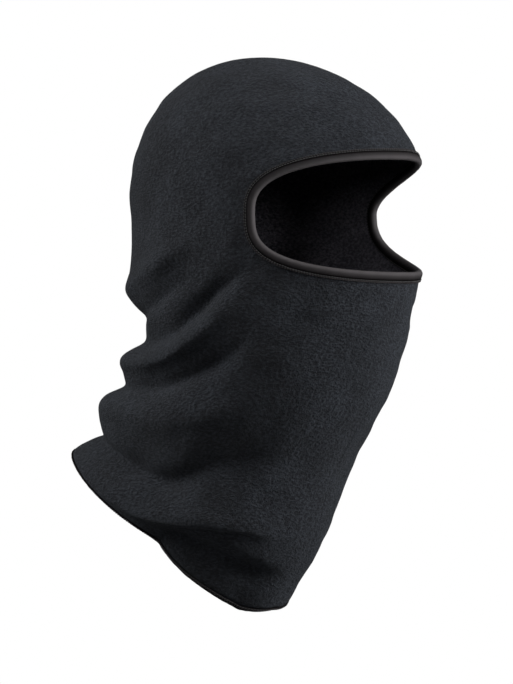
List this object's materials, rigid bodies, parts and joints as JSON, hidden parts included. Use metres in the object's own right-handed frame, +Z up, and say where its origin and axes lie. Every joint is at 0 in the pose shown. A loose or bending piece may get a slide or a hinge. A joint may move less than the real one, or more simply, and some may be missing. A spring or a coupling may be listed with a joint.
{
  "type": "balaclava",
  "caption": "Fleece hood sewn from side panels, covering head, face and neck, with a taped oval face opening and a taped neck hem.",
  "frame": {"origin": "middle of the inner face of the crown, where the hood rests on the top of the head", "axes": "+X to the wearer's left, -Y the way the wearer faces, +Z up through the crown"},
  "size_m": [0.1594, 0.253, 0.3602],
  "materials": {
    "fleece": "matt brushed fleece with a short pebbly pile",
    "binding": "stretch tape with a soft satin sheen",
    "thread": "matt sewing thread",
    "label": "smooth woven satin, blank"
  },
  "bodies": {
    "root": {"right_panel": "fleece", "left_panel": "fleece", "crown_seam": "fleece", "chin_seam": "fleece", "face_binding": "binding", "face_stitching": "thread", "face_bar_tack": "thread", "hem_binding": "binding", "hem_stitching": "thread", "hem_bar_tack": "thread", "care_label": "label"}
  },
  "joints": []
}
